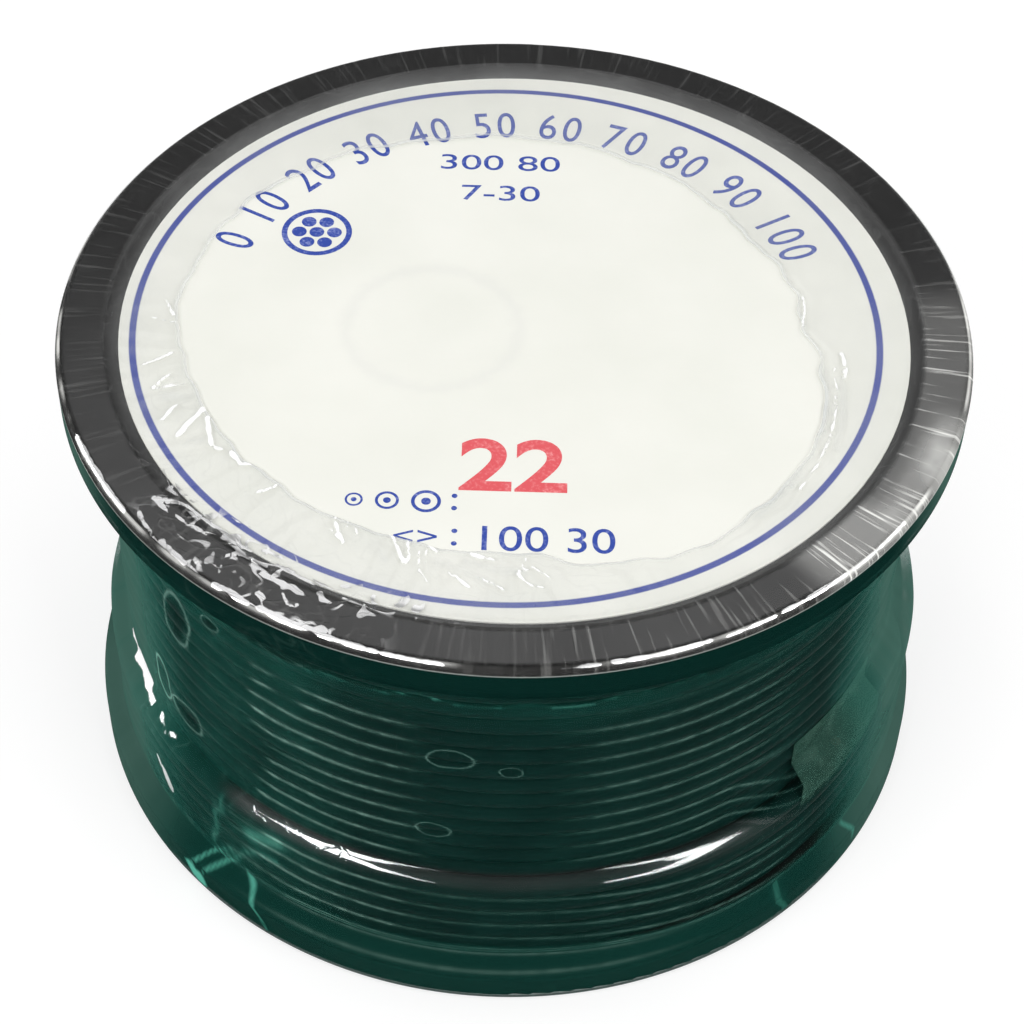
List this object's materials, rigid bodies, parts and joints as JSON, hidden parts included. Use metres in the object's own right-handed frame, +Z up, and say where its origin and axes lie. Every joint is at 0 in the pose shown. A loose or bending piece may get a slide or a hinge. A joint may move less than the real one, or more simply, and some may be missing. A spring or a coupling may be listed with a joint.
{
  "type": "wire spool",
  "caption": "Small two-flange spool of insulated stranded hook-up wire, with a round paper label on the upper flange, sealed in clear shrink film.",
  "frame": {"origin": "centre of the underside, on the spool's axis, at the surface it stands on", "axes": "+Z up along the arbor, towards the labelled flange; -Y towards the side that the label's numbers read from"},
  "size_m": [0.0652, 0.0652, 0.0384],
  "materials": {
    "flange_plastic": "satin",
    "drum_plastic": "satin",
    "label_paper": "matte",
    "wire_insulation": "gloss",
    "copper_strand": "bright",
    "clear_tape": "gloss",
    "clear_film": "gloss"
  },
  "bodies": {
    "root": {"upper_flange": "flange_plastic", "lower_flange": "flange_plastic", "drum": "drum_plastic", "label": "label_paper", "wire_layer_01": "wire_insulation", "wire_layer_02": "wire_insulation", "wire_layer_03": "wire_insulation", "wire_layer_04": "wire_insulation", "wire_layer_05": "wire_insulation", "wire_layer_06": "wire_insulation", "wire_layer_07": "wire_insulation", "wire_layer_08": "wire_insulation", "wire_layer_09": "wire_insulation", "wire_layer_10": "wire_insulation", "wire_layer_11": "wire_insulation", "wire_layer_12": "wire_insulation", "wire_start_end": "wire_insulation", "wire_finish_end": "wire_insulation", "start_strands": "copper_strand", "finish_strands": "copper_strand", "hold_down_tape": "clear_tape", "shrink_film": "clear_film"}
  },
  "joints": []
}
